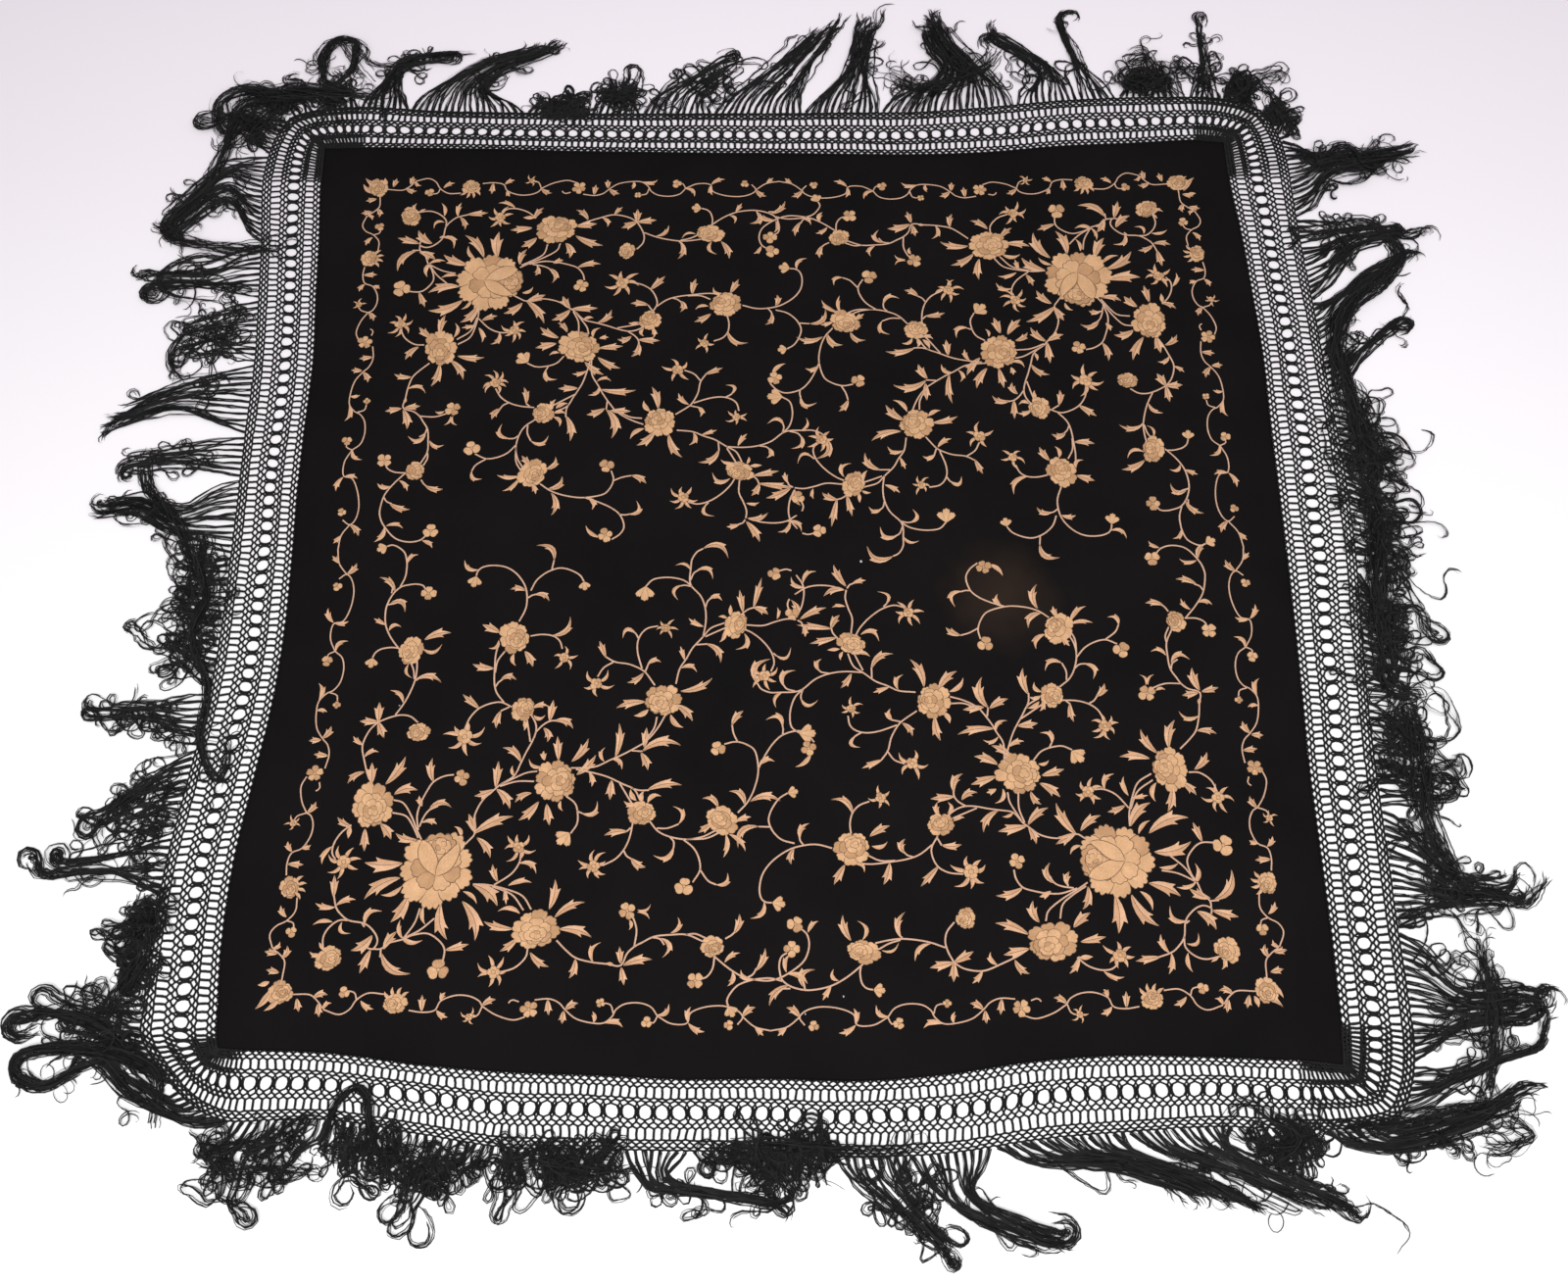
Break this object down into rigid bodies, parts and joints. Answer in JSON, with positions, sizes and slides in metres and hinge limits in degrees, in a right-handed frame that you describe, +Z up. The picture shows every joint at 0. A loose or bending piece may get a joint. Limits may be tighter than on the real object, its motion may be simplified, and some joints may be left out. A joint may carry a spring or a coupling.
{
  "type": "flamenco shawl",
  "caption": "Square black silk shawl laid flat, with gold flower embroidery, a knotted net border all round and a long tangled silk fringe.",
  "frame": {"origin": "middle of the whole outline, fringe included, on the surface that the shawl lies on", "axes": "+Z up out of the cloth, +X to the right and +Y to the back, as seen in the picture"},
  "size_m": [1.8182, 1.7824, 0.0152],
  "materials": {
    "silk": "fine black silk crepe with a soft, low sheen",
    "embroidery": "gold to peach silk floss in flat satin stitch, with a soft sheen along the thread",
    "net_cord": "twisted black silk cord, knotted",
    "fringe_silk": "loose black silk threads, slightly glossy"
  },
  "bodies": {
    "root": {"cloth": "silk", "net_front": "net_cord", "net_right": "net_cord", "net_back": "net_cord", "net_left": "net_cord", "fringe_front": "fringe_silk", "fringe_right": "fringe_silk", "fringe_back": "fringe_silk", "fringe_left": "fringe_silk"}
  },
  "joints": []
}
